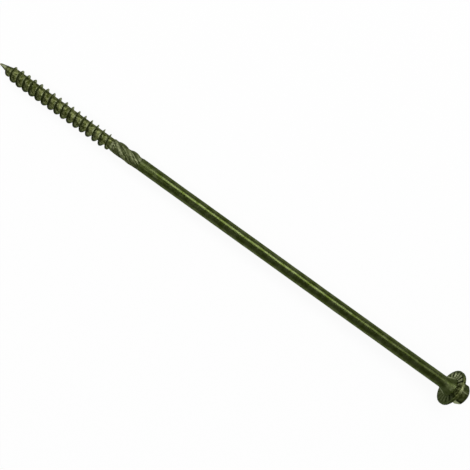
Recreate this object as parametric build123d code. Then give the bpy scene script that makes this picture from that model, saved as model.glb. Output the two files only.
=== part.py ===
from build123d import *
import math
import os

# A long timber screw made in one piece: slashed cone point, coarse right-hand thread,
# twisted flutes, plain shank, coned neck, serrated flange and hex head.
# It is drawn on its own axis, with the tip at zero and the head up, and is then laid
# down as it comes to rest. Lengths are in millimetres and angles in degrees.
# Directions round the axis are counted from the side that faces up when the screw lies.

# Whole screw
length_under_head = 220.0
shank_diameter = 5.2

# Blunt point, with a flat slash cut on one side
tip_diameter = 0.6
point_length = 7.3
slash_length = 3.4
slash_depth = 0.13
slash_direction = -20.0

# Thread, measured from the tip
root_diameter = 4.3
thread_diameter = 7.1
thread_pitch = 3.06
thread_start = 3.2
thread_end = 57.5
crest_width = 0.18
ridge_width = 0.85
crest_rise = 2.0
crest_fade = 7.0
crest_direction = 238.0

# Flutes between the thread and the plain shank
flute_overlap = 2.9
flute_length = 14.25
flute_count = 4
flute_lead = 23.2
flute_valley_diameter = 4.8
flute_core_step = 0.3
rib_height = 0.55
rib_width = 1.9
rib_start_taper = 1.4
rib_end_taper = 2.8
rib_direction = 24.0

# Neck and flange
neck_length = 3.3
neck_diameter = 8.2
neck_blend = 4.0
flange_diameter = 15.3
flange_rim = 1.05
flange_slope = 0.5
rim_round = 0.25
rim_chamfer = 0.25

# Radial teeth under the flange
tooth_count = 18
tooth_height = 0.25
tooth_margin = 0.75
tooth_steep = 0.1
tooth_share = 0.9
tooth_direction = 5.0

# Hex head
hex_across_flats = 8.0
hex_height = 5.0
hex_direction = 41.2
chamfer_angle = 30.0
chamfer_share = 0.95
dish_share = 0.6
dish_depth = 0.45

# Radii and stations along the axis that follow from the sizes above
shank_radius = shank_diameter / 2
tip_radius = tip_diameter / 2
root_radius = root_diameter / 2
crest_radius = thread_diameter / 2
valley_radius = flute_valley_diameter / 2
neck_radius = neck_diameter / 2
flange_radius = flange_diameter / 2
hex_corner = hex_across_flats / math.sqrt(3)
chamfer_radius = chamfer_share * hex_across_flats / 2
dish_radius = dish_share * hex_across_flats / 2
flute_start = thread_end - flute_overlap
flute_end = flute_start + flute_length
neck_start = length_under_head - neck_length
flange_top = length_under_head + flange_rim

# Shares of the core radius at which the ridge's foot is buried and its crest ends,
# how many points draw one turn of its edges, and how many heights the rest line tries
foot_share = 0.75
crest_end_share = 0.92
points_per_turn = 16
rest_steps = 200
full_turn = 360.0


def core_radius(height):
    """Radius of the plain core of point and thread at a height above the tip."""
    return tip_radius + (root_radius - tip_radius) * min(1.0, height / point_length)


def crest_radius_at(height):
    """Crest radius: it climbs out of the cone, stays full, and fades into the core."""
    start_radius = crest_end_share * core_radius(thread_start)
    climb = math.exp(-(height - thread_start) / crest_rise)
    fade_start = thread_end - crest_fade
    faded = max(0.0, (height - fade_start) / crest_fade)
    drop = (crest_radius - crest_end_share * root_radius) * faded**2
    return crest_radius - (crest_radius - start_radius) * climb - drop


def foot_radius_at(height):
    """Radius of the ridge's foot, buried inside the core."""
    return foot_share * core_radius(height)


def foot_half_width_at(height):
    """Half the width of the ridge at its buried foot, along the line of its flanks."""
    flank_slope = (ridge_width - crest_width) / 2 / (crest_radius - root_radius)
    return ridge_width / 2 + flank_slope * (core_radius(height) - foot_radius_at(height))


def ridge_edge(low, high, radius_at, half_width_at, side):
    """One long edge of the ridge between two heights: a helix with a changing radius."""
    steps = math.ceil((high - low) / thread_pitch * points_per_turn)
    points = []
    for step in range(steps + 1):
        height = low + (high - low) * step / steps
        turn = math.radians(crest_direction + full_turn * height / thread_pitch)
        radius = radius_at(height)
        shift = side * half_width_at(height)
        points.append((radius * math.cos(turn), radius * math.sin(turn), height + shift))
    return Edge.make_spline(points)


def ridge_turn(low, high):
    """One stretch of the thread's ridge: four ruled helical faces and two end faces."""
    edges = [
        ridge_edge(low, high, foot_radius_at, foot_half_width_at, -1),
        ridge_edge(low, high, crest_radius_at, lambda height: crest_width / 2, -1),
        ridge_edge(low, high, crest_radius_at, lambda height: crest_width / 2, 1),
        ridge_edge(low, high, foot_radius_at, foot_half_width_at, 1),
    ]
    faces = []
    for near, far in zip(edges, edges[1:] + edges[:1]):
        faces.append(Face.make_surface_from_curves(near, far))
    for end in (0, 1):
        corners = [edge @ end for edge in edges]
        faces.append(Face(Wire.make_polygon(corners, close=True)))
    return Solid(Shell(faces))


def thread_ridge():
    """The whole ridge as a chain of stretches of up to one turn each."""
    stretch_count = math.ceil((thread_end - thread_start) / thread_pitch)
    stretch = (thread_end - thread_start) / stretch_count
    heights = [thread_start + stretch * number for number in range(stretch_count + 1)]
    return [ridge_turn(low, high) for low, high in zip(heights, heights[1:])]


def revolved(*outline):
    """A solid of revolution from (radius, height) corners."""
    return revolve(Plane.XZ * make_face(Polyline(*outline, close=True)), Axis.Z)


def turned_body():
    """Cone point, thread core, shank and neck, as one turned outline."""
    flute_core_radius = min(root_radius, valley_radius - flute_core_step)
    runout = shank_radius - flute_core_radius
    outline = Polyline(
        (0, 0),
        (tip_radius, 0),
        (root_radius, point_length),
        (root_radius, flute_start),
        (flute_core_radius, flute_start + flute_core_step),
        (flute_core_radius, flute_end - runout),
        (shank_radius, flute_end),
        (shank_radius, neck_start),
        (neck_radius, length_under_head),
        (neck_radius, flange_top),
        (0, flange_top),
        close=True,
    )
    profile = make_face(outline)
    neck_foot = profile.vertices().sort_by_distance((shank_radius, neck_start, 0))[0]
    profile = fillet(neck_foot, neck_blend)
    return revolve(Plane.XZ * profile, Axis.Z)


def fluted_bar():
    """Round ribs twisted about the axis, faded at both ends by a barrel outline."""
    rib_radius = rib_width / 2
    rib_crest_radius = valley_radius + rib_height
    section = Circle(valley_radius)
    section += PolarLocations(
        rib_crest_radius - rib_radius, flute_count, rib_direction
    ) * Circle(rib_radius)
    twist = full_turn * flute_length / flute_lead
    bar = Solid.extrude_linear_with_rotation(
        section.face(), (0, 0, 0), (0, 0, flute_length), twist
    )
    barrel_radius = rib_crest_radius + rib_height
    barrel = revolved(
        (0, 0),
        (root_radius * crest_end_share, 0),
        (barrel_radius, rib_start_taper),
        (barrel_radius, flute_length - rib_end_taper),
        (shank_radius * crest_end_share, flute_length),
        (0, flute_length),
    )
    return Pos(0, 0, flute_start) * (bar & barrel)


def flange():
    """Round flange: flat bearing face, rounded rim, and a back that slopes up to the hex."""
    outline = Polyline(
        (0, length_under_head),
        (flange_radius, length_under_head),
        (flange_radius, flange_top - rim_chamfer),
        (flange_radius - rim_chamfer, flange_top),
        (hex_corner, flange_top + flange_slope),
        (0, flange_top + flange_slope),
        close=True,
    )
    profile = make_face(outline)
    rim_corner = profile.vertices().sort_by_distance((flange_radius, length_under_head, 0))[0]
    return revolve(Plane.XZ * fillet(rim_corner, rim_round), Axis.Z)


def tooth():
    """One ratchet tooth: a wedge that widens outwards, with one slow and one steep flank."""
    inner = neck_radius - tooth_height
    outer = flange_radius - tooth_margin
    sections = []
    for radius in (inner, outer):
        width = tooth_share * 2 * math.pi * radius / tooth_count
        wedge = Polyline(
            (-width / 2, tooth_height),
            (width / 2, tooth_height),
            (width / 2, 0),
            (width / 2 - tooth_steep, -tooth_height),
            (-width / 2, 0),
            close=True,
        )
        plane = Plane(origin=(radius, 0, length_under_head), x_dir=(0, 1, 0), z_dir=(1, 0, 0))
        sections.append(plane * make_face(wedge))
    return loft(sections)


def tooth_ring():
    """All the teeth, evenly spaced round the axis."""
    turns = [tooth_direction + full_turn * number / tooth_count for number in range(tooth_count)]
    one_tooth = tooth()
    return [Rot(0, 0, turn) * one_tooth for turn in turns]


def hex_head():
    """Hex with a coned chamfer at its end and a shallow round dish in its end face."""
    prism = extrude(RegularPolygon(hex_across_flats / 2, 6, major_radius=False), hex_height)
    cone_drop = (hex_corner - chamfer_radius) * math.tan(math.radians(chamfer_angle))
    barrel = revolved(
        (0, 0),
        (hex_corner, 0),
        (hex_corner, hex_height - cone_drop),
        (chamfer_radius, hex_height),
        (0, hex_height),
    )
    dish = revolved(
        (0, hex_height - dish_depth),
        (dish_radius - dish_depth, hex_height - dish_depth),
        (dish_radius, hex_height),
        (0, hex_height),
    )
    return Pos(0, 0, flange_top) * Rot(0, 0, hex_direction) * ((prism & barrel) - dish)


def slash():
    """A block whose flat underside shaves one side of the point."""
    reach = core_radius(slash_length) + slash_depth
    lean = math.degrees(math.atan2(reach, slash_length))
    block_size = 2 * point_length
    block = Box(
        block_size, block_size, block_size, align=(Align.MIN, Align.CENTER, Align.CENTER)
    )
    return Rot(0, 0, slash_direction) * Pos(-slash_depth, 0, 0) * Rot(0, lean, 0) * block


def whole_screw():
    """All forms fused into the one solid, on the screw's own axis."""
    body = turned_body() - slash()
    body += flange()
    body += hex_head()
    body += fluted_bar()
    body += tooth_ring()
    body += thread_ridge()
    return body


def rest_tilt():
    """Slope of the line that touches the flange's rim and the thread's crests together."""
    rim_height = length_under_head + rim_round
    thread_length = thread_end - thread_start
    slopes = []
    for step in range(rest_steps):
        height = thread_start + thread_length * step / rest_steps
        slopes.append((flange_radius - crest_radius_at(height)) / (rim_height - height))
    return math.degrees(math.atan(min(slopes)))


def laid_down(body):
    """Lay the body on flange rim and thread, with the origin under the middle of its box."""
    lying = Rot(0, rest_tilt() - 90, 0) * body
    box = lying.bounding_box()
    return Pos(-box.center().X, -box.center().Y, -box.min.Z) * lying


screw = laid_down(whole_screw())
os.makedirs("parts", exist_ok=True)
export_step(screw, "parts/screw.step")
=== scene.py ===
"""Looks of a long timber construction screw that lies on a pale table, seen from close above."""

import logging
import math
from dataclasses import dataclass
from enum import Enum
from typing import NamedTuple

import bmesh
import bpy
import numpy as np
from mathutils import Matrix, Vector


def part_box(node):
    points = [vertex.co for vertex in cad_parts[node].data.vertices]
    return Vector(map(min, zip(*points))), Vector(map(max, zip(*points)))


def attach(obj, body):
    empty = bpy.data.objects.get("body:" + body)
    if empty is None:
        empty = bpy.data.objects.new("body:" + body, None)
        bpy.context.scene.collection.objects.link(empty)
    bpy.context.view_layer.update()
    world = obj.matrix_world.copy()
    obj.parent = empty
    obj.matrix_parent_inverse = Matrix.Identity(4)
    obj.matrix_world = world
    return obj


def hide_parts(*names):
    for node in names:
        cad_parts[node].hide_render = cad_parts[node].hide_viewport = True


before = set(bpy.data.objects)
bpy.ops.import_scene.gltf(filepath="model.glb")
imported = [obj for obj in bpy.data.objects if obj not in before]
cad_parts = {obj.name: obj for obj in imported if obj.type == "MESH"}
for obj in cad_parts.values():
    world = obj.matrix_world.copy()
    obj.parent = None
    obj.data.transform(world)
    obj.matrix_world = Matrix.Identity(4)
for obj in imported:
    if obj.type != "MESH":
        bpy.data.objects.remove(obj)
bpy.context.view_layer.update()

# Metres in a millimetre, and radians and degrees in a full turn
MM = 0.001
TURN = 2.0 * math.pi
CIRCLE = 360.0

NODE = "screw"
log = logging.getLogger("construction_screw")

Array = np.ndarray
Span = tuple[float, float]
Colour = tuple[float, float, float, float]
Socket = bpy.types.NodeSocket
Given = Socket | float | Colour

WHITE: Colour = (1.0, 1.0, 1.0, 1.0)


class Mark(Enum):
    """Names of the point attributes that tell the coating where it changes.

    The first is scuffed down to steel colour and also carries painted highlights and
    painted reflections, the second carries painted shade, the third is mottled and the last
    is less glossy.
    """

    EDGE = "edge"
    SHADE = "hollow"
    ROOT = "root"
    DULL = "dull"


class Sum(Enum):
    """Kinds of sum that a shader node does."""

    ADD = "ADD"
    SUBTRACT = "SUBTRACT"
    MULTIPLY = "MULTIPLY"
    MAXIMUM = "MAXIMUM"


def ramp(value: Array, zero: Array | float, one: Array | float) -> Array:
    """Even climb from 0 at zero to 1 at one, held beyond both: (v - zero) / (one - zero)."""
    return np.clip((value - zero) / (one - zero), 0.0, 1.0)


def soft_top(value: Array, width: float) -> Array:
    """Larger of value and zero with a rounded corner: (v + sqrt(v^2 + w^2)) / 2."""
    return (value + np.sqrt(value**2 + width**2)) / 2


class Polar(NamedTuple):
    """Places on a grid, by their distance from the axis, turn round it and height."""

    radius: Array | float
    angle: Array
    height: Array

    def places(self) -> Array:
        """The places as an array (..., 3) of (r cos(t), r sin(t), h)."""
        across, beside = self.radius * np.cos(self.angle), self.radius * np.sin(self.angle)
        return np.stack((across, beside, self.height), axis=-1)


@dataclass(frozen=True)
class Sector:
    """A sector round the axis, in degrees from the upper side.

    Attributes:
        side: direction of its middle.
        half: half its width.
        soft: width of the border over which it fades.
        strength: its share inside.
    """

    side: float
    half: float
    soft: float
    strength: float = 1.0

    def share(self, angle: Array) -> Array:
        """Strength inside the sector, falling evenly to 0 over its border.

        With d the turn away from the middle, it is strength * (half + soft - d) / soft,
        held between 0 and the strength.

        Args:
            angle: angles round the axis in radians.

        Returns:
            Shares from 0 to the strength.
        """
        away = np.degrees(angle) - self.side
        away = np.abs(away - np.round(away / CIRCLE) * CIRCLE)
        return self.strength * ramp(away, self.half + self.soft, self.half)


@dataclass(frozen=True)
class Band:
    """A stretch of some measure from low to high, with a soft border outside it."""

    low: float
    high: float
    soft: float

    def share(self, value: Array) -> Array:
        """1 inside the band, falling evenly to 0 over its border."""
        rise = ramp(value, self.low - self.soft, self.low)
        return rise * ramp(value, self.high + self.soft, self.high)


@dataclass(frozen=True)
class Swell:
    """Gentle unevenness made of plane waves.

    Attributes:
        size: typical length of a wave in metres.
        seed: start of the random numbers.
        waves: how many waves are added.
        spread: shortest and longest wave, as shares of the size.
    """

    size: float
    seed: int
    waves: int = 12
    spread: Span = (0.7, 1.6)

    def at(self, points: Array) -> Array:
        """Height of the swell, between about -1 and 1.

        It is the sum of waves cos(k . p + phase) with random directions and lengths,
        divided by the square root of half their number.

        Args:
            points: array (..., 3) of places.

        Returns:
            An array with the swell at each place.
        """
        random = np.random.default_rng(self.seed)
        directions = random.normal(size=(self.waves, 3))
        directions /= np.linalg.norm(directions, axis=1, keepdims=True)
        numbers = TURN / (self.size * random.uniform(*self.spread, self.waves))
        phases = random.uniform(0.0, TURN, self.waves)
        angles = points @ (directions * numbers[:, None]).T + phases
        return np.cos(angles).sum(axis=-1) / math.sqrt(self.waves / 2)


@dataclass(frozen=True)
class ScrewSizes:
    """Sizes of the whole screw in metres and its slope in degrees, as the solid has them."""

    length_under_head: float = 220.0 * MM
    shank_radius: float = 2.6 * MM
    tip_radius: float = 0.3 * MM
    root_radius: float = 2.15 * MM
    crest_radius: float = 3.55 * MM
    point_length: float = 7.3 * MM
    neck_radius: float = 4.1 * MM
    neck_length: float = 3.3 * MM
    neck_blend: float = 4.0 * MM
    rest_tilt: float = 1.136135
    flange_radius: float = 7.65 * MM
    rim_round: float = 0.25 * MM

    @property
    def neck_start(self) -> float:
        """Height at which the cone of the neck begins."""
        return self.length_under_head - self.neck_length

    def cone(self, height: Array | float) -> Array | float:
        """Radius of the blunt point: r = tip + (root - tip) h / length."""
        return self.tip_radius + (self.root_radius - self.tip_radius) * height / self.point_length


@dataclass(frozen=True)
class RestPlace:
    """Where the screw's own axis lies once it rests on the flange's rim and the thread."""

    sizes: ScrewSizes

    @property
    def tilt(self) -> float:
        """Slope of the axis in radians."""
        return math.radians(self.sizes.rest_tilt)

    @property
    def tip(self) -> Vector:
        """The point's tip in the row frame.

        The lowest point of the rim touches the table, which gives the height, and the
        foremost point of the box gives the place along the length.

        Returns:
            The place of the tip.
        """
        sizes = self.sizes
        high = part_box(NODE)[1]
        sine, cosine = math.sin(self.tilt), math.cos(self.tilt)
        rim = sizes.length_under_head + sizes.rim_round
        height = (sizes.flange_radius - sizes.rim_round) * cosine + sizes.rim_round - rim * sine
        return Vector((high.x - sizes.tip_radius * sine, 0.0, height))

    def laid(self, points: Array) -> Array:
        """Turn points of the upright screw down onto the table.

        x' = x sin(t) - z cos(t) + tip.x,  y' = y,  z' = x cos(t) + z sin(t) + tip.z.

        Args:
            points: array (..., 3) with the tip at zero and the head up.

        Returns:
            The points in the row frame.
        """
        sine, cosine = math.sin(self.tilt), math.cos(self.tilt)
        tip = self.tip
        x, y, z = points[..., 0], points[..., 1], points[..., 2]
        return np.stack(
            (x * sine - z * cosine + tip.x, y, x * cosine + z * sine + tip.z), axis=-1
        )

    def towards_head(self) -> Vector:
        """Unit direction of the axis, from the point to the head."""
        return Vector((-math.cos(self.tilt), 0.0, math.sin(self.tilt)))

    def upwards(self) -> Vector:
        """Unit direction square to the axis, away from the table."""
        return Vector((math.sin(self.tilt), 0.0, math.cos(self.tilt)))


# Carries painted highlights and painted shade, as well as scuffs, mottling and dullness.
@dataclass
class MarkShares:
    """The marks of a grid's points, each raised to the strongest share that is asked for."""

    marks: dict[Mark, Array]

    @classmethod
    def none_on(cls, grid: Array) -> "MarkShares":
        """No mark on any point of a grid like the given one."""
        return cls({mark: np.zeros_like(grid) for mark in Mark})

    def add(self, mark: Mark, share: Array | float, where: Array | bool = True) -> None:
        """Raise a mark to a share wherever it has less.

        Args:
            mark: the mark.
            share: its share at each point.
            where: the points that it applies to.
        """
        self.marks[mark] = np.maximum(self.marks[mark], np.where(where, share, 0.0))

    def with_end_rows(self) -> "MarkShares":
        """The same marks, with the first and the last row repeated."""
        rows = ((1, 1), (0, 0))
        return MarkShares({mark: np.pad(share, rows, mode="edge") for mark, share in self.marks.items()})


@dataclass
class Skin:
    """A surface on a grid of rows and columns that is made into a piece.

    Attributes:
        name: name of the piece.
        points: array (rows, columns, 3); the last column repeats the first place.
        mark_shares: the marks of its points.
        sharp: angle in degrees from which a crease stays sharp.
        weld: distance in metres within which points become one.
    """

    name: str
    points: Array
    mark_shares: MarkShares
    sharp: float = 40.0
    weld: float = 0.5e-6

    def quads(self) -> Array:
        """Corner numbers of each face: (i, j), (i, j+1), (i+1, j+1), (i+1, j).

        Returns:
            An array (faces, 4).
        """
        rows, columns = self.points.shape[:2]
        number = np.arange(rows * columns).reshape(rows, columns)
        return np.stack(
            (number[:-1, :-1], number[:-1, 1:], number[1:, 1:], number[1:, :-1]), axis=-1
        ).reshape(-1, 4)

    def mesh(self) -> bpy.types.Mesh:
        """The welded mesh with smooth faces and sharp edges kept.

        Returns:
            A closed mesh whose faces point outwards.
        """
        mesh = bpy.data.meshes.new(self.name)
        mesh.from_pydata(self.points.reshape(-1, 3), [], self.quads())
        for mark, values in self.mark_shares.marks.items():
            attribute = mesh.attributes.new(mark.value, "FLOAT", "POINT")
            attribute.data.foreach_set("value", values.astype(np.float32).ravel())
        work = bmesh.new()
        work.from_mesh(mesh)
        bmesh.ops.remove_doubles(work, verts=work.verts, dist=self.weld)
        bmesh.ops.dissolve_degenerate(work, dist=self.weld, edges=work.edges)
        bmesh.ops.recalc_face_normals(work, faces=work.faces)
        if work.calc_volume(signed=True) < 0:
            bmesh.ops.reverse_faces(work, faces=work.faces)
        work.to_mesh(mesh)
        work.free()
        mesh.shade_smooth()
        mesh.set_sharp_from_angle(angle=math.radians(self.sharp))
        return mesh

    def piece(self, material: bpy.types.Material) -> bpy.types.Object:
        """The finished piece: it rides on the root body and stands for the solid.

        Args:
            material: the finish that it is dressed in.

        Returns:
            The piece's object.
        """
        made = bpy.data.objects.new(self.name, self.mesh())
        bpy.context.scene.collection.objects.link(made)
        made.data.materials.append(material)
        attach(made, "root")
        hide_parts(NODE)
        return made


class Ridge(NamedTuple):
    """What the thread does at each place of a grid.

    Attributes:
        extra: how far it stands out of the core.
        share: its share of the ridge's full height.
        beyond: distance from the nearest crest, along the axis towards the head.
    """

    extra: Array
    share: Array
    beyond: Array


@dataclass(frozen=True)
class Thread:
    """One right-hand ridge of sharp section round the core, with its painted highlights and shade.

    Steel colour is painted as highlights in the lit sectors, and painted shade in the dark
    ones. Bands of the ridge are shares of its height, and bands beside it are distances from
    its crest.
    """

    sizes: ScrewSizes
    # Course and section of the ridge
    pitch: float = 3.06 * MM
    start: float = 3.2 * MM
    end: float = 57.5 * MM
    crest_width: float = 0.10 * MM
    ridge_width: float = 0.60 * MM
    crest_rise: float = 2.0 * MM
    crest_fade: float = 7.0 * MM
    crest_direction: float = 238.0
    crest_end_share: float = 0.92
    most_faded: float = 1.4
    foot_round: float = 0.12
    crest_round: float = 0.03
    thin_fins: Sector = Sector(-90.0, 25.0, 40.0, 0.5)
    # Crests that lean out sideways, less where the ridge is low
    low_side_shift: float = 0.10 * MM
    high_side_shift: float = 0.36 * MM
    shifted_height: float = 1.0 * MM
    # Parts of the ridge, and strips beside it, that the marks lie on
    least_height: float = 0.1 * MM
    soft_ends: float = 1.0 * MM
    crest_part: Span = (0.75, 1.0)
    under_crest_part: Span = (0.45, 0.7)
    flank_part: Band = Band(0.25, 0.8, 0.1)
    low_flank_part: Band = Band(0.05, 0.35, 0.1)
    before_crest: Band = Band(-0.85 * MM, -0.4 * MM, 0.2 * MM)
    after_crest: Band = Band(0.3 * MM, 0.65 * MM, 0.1 * MM)
    # Sectors of painted highlight on the ridge, and sectors of painted shade
    lit_crest: Sector = Sector(0.0, 20.0, 30.0, 0.3)
    lit_before: Sector = Sector(-2.0, 10.0, 22.0, 0.6)
    lit_after: Sector = Sector(6.0, 14.0, 20.0, 0.35)
    lit_flank: Sector = Sector(-95.0, 25.0, 20.0, 0.9)
    lit_low_flank: Sector = Sector(60.0, 15.0, 25.0, 0.6)
    dark_tip_side: Sector = Sector(0.0, 90.0, 30.0, 0.8)
    dark_head_side: Sector = Sector(65.0, 30.0, 20.0, 0.8)
    dark_outline: Sector = Sector(85.0, 65.0, 20.0)
    dark_high_side: Sector = Sector(-52.0, 18.0, 12.0, 0.3)
    # Places of the grid's rows beside a crest, in millimetres
    ridge_offsets: tuple[float, ...] = (
        0.0, 0.05, 0.08, 0.12, 0.19, 0.27, 0.35, 0.42, 0.5, 0.62, 0.85, 1.15,
    )

    def crest(self, height: Array) -> Array:
        """Crest radius: it climbs out of the cone, stays full and fades at the end.

        It is full - (full - first) exp(-(h - start) / rise), less a drop to the buried
        end that grows with the square of the way through the fade.

        Args:
            height: heights above the tip.

        Returns:
            The radius at each height.
        """
        sizes = self.sizes
        first = self.crest_end_share * sizes.cone(self.start)
        climb = np.exp(-np.maximum(height - self.start, 0.0) / self.crest_rise)
        faded = (height - self.end + self.crest_fade) / self.crest_fade
        faded = np.clip(faded, 0.0, self.most_faded)
        drop = (sizes.crest_radius - self.crest_end_share * sizes.root_radius) * faded**2
        return sizes.crest_radius - (sizes.crest_radius - first) * climb - drop

    def ridge(self, core: Polar) -> Ridge:
        """How the ridge stands out of the core.

        The distance d along the axis from the nearest crest gives the share
        (w - |d|) / (w - c), rounded at foot and crest, with w and c half their widths,
        which are smaller in one sector. The crest stands out further by shift * sin(t).

        Args:
            core: the core's surface.

        Returns:
            The ridge at each place.
        """
        turns = core.height / self.pitch - (core.angle / TURN - self.crest_direction / CIRCLE)
        distance = (turns - np.round(turns)) * self.pitch
        width = 1.0 - self.thin_fins.share(core.angle)
        foot, top = self.ridge_width / 2 * width, self.crest_width / 2 * width
        share = soft_top((foot - np.abs(distance)) / (foot - top), self.foot_round)
        share = 1.0 - soft_top(1.0 - share, self.crest_round)
        crest_height = core.height - distance
        full = np.maximum(self.crest(crest_height) - core.radius, 0.0)
        full = np.where(crest_height < self.start, 0.0, full)
        lean = np.sin(core.angle)
        shift = np.where(lean > 0.0, self.low_side_shift, self.high_side_shift) * lean
        full = full + shift * ramp(full, 0.0, self.shifted_height)
        return Ridge(share * full, share, distance)

    def rows(self, low: float, high: float, columns: int) -> Array:
        """Grid rows that climb with the thread, so that its crest and flanks are sharp.

        A row lies at q + pitch * (share of the turn - crest direction), held between low
        and high, where it collapses and is welded. The q are the offsets on both sides
        of each crest, and the middle between two crests.

        Args:
            low: height at which the rows begin.
            high: height at which they end.
            columns: how many columns go round.

        Returns:
            An array (rows, columns + 1) of heights.
        """
        share = np.linspace(0.0, 1.0, columns + 1) - self.crest_direction / CIRCLE
        offsets = np.array(self.ridge_offsets) * MM
        offsets = np.unique(np.concatenate((-offsets, offsets, [self.pitch / 2])))
        first, last = math.floor(low / self.pitch) - 2, math.ceil(high / self.pitch) + 1
        crests = np.arange(first, last + 1)[:, None] * self.pitch + offsets[None, :]
        climb = np.clip(crests.reshape(-1, 1) + self.pitch * share[None, :], low, high)
        return climb[(climb.max(axis=1) > low) & (climb.min(axis=1) < high)]

    def mark(self, mark_shares: MarkShares, at: Polar, ridge: Ridge) -> None:
        """Paint highlights on crests and flanks, and paint shade beside and along them.

        Args:
            mark_shares: the marks.
            at: places of the grid.
            ridge: the ridge at each place.
        """
        height, angle, share, beyond = at.height, at.angle, ridge.share, ridge.beyond
        raised = ridge.extra > self.least_height
        head_side = raised & (beyond > 0.0)
        on_thread = (height > self.start) & (height < self.end)
        top = ramp(share, *self.crest_part)
        # Painted highlights on crests and flanks in the lit sectors.
        mark_shares.add(Mark.EDGE, top * self.lit_crest.share(angle), raised)
        before = self.before_crest.share(beyond) * self.lit_before.share(angle)
        mark_shares.add(Mark.EDGE, before, on_thread)
        after = self.after_crest.share(beyond) * self.lit_after.share(angle)
        mark_shares.add(Mark.EDGE, after, height < self.end)
        flank = self.flank_part.share(share) * self.lit_flank.share(angle)
        mark_shares.add(Mark.EDGE, flank, head_side)
        low_flank = self.low_flank_part.share(share) * self.lit_low_flank.share(angle)
        mark_shares.add(Mark.EDGE, low_flank, head_side)
        # Painted shade beside the crests, along the outline and on the high side.
        under = ramp(share, *self.under_crest_part) * (1.0 - top)
        mark_shares.add(Mark.SHADE, under * self.dark_tip_side.share(angle), raised & (beyond < 0.0))
        mark_shares.add(Mark.SHADE, under * self.dark_head_side.share(angle), head_side)
        mark_shares.add(Mark.SHADE, top * self.dark_outline.share(angle), raised)
        whole = Band(self.start, self.end, self.soft_ends).share(height)
        mark_shares.add(Mark.SHADE, whole * self.dark_high_side.share(angle))


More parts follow.
